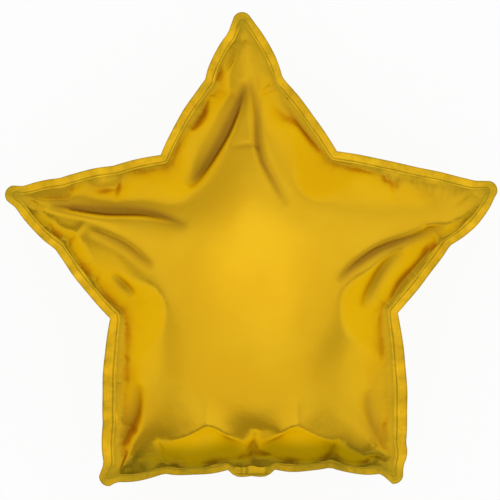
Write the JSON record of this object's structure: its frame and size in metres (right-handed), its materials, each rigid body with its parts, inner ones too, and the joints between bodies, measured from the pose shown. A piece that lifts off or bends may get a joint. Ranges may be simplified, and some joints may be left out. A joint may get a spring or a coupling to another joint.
{
  "type": "star foil balloon",
  "caption": "Inflated star-shaped foil balloon with a gathered heat-sealed edge and a folded-back filling neck, lying on its back.",
  "frame": {"origin": "on the small flat spot that the balloon's back rests on, under the middle of the star", "axes": "+Z out of the star's front face, +Y to its top tip, +X to its right tip as seen from the front"},
  "size_m": [0.4269, 0.4111, 0.1612],
  "materials": {
    "gold_foil": "metallised film, satin gold"
  },
  "bodies": {
    "root": {"star_balloon": "gold_foil"}
  },
  "joints": []
}
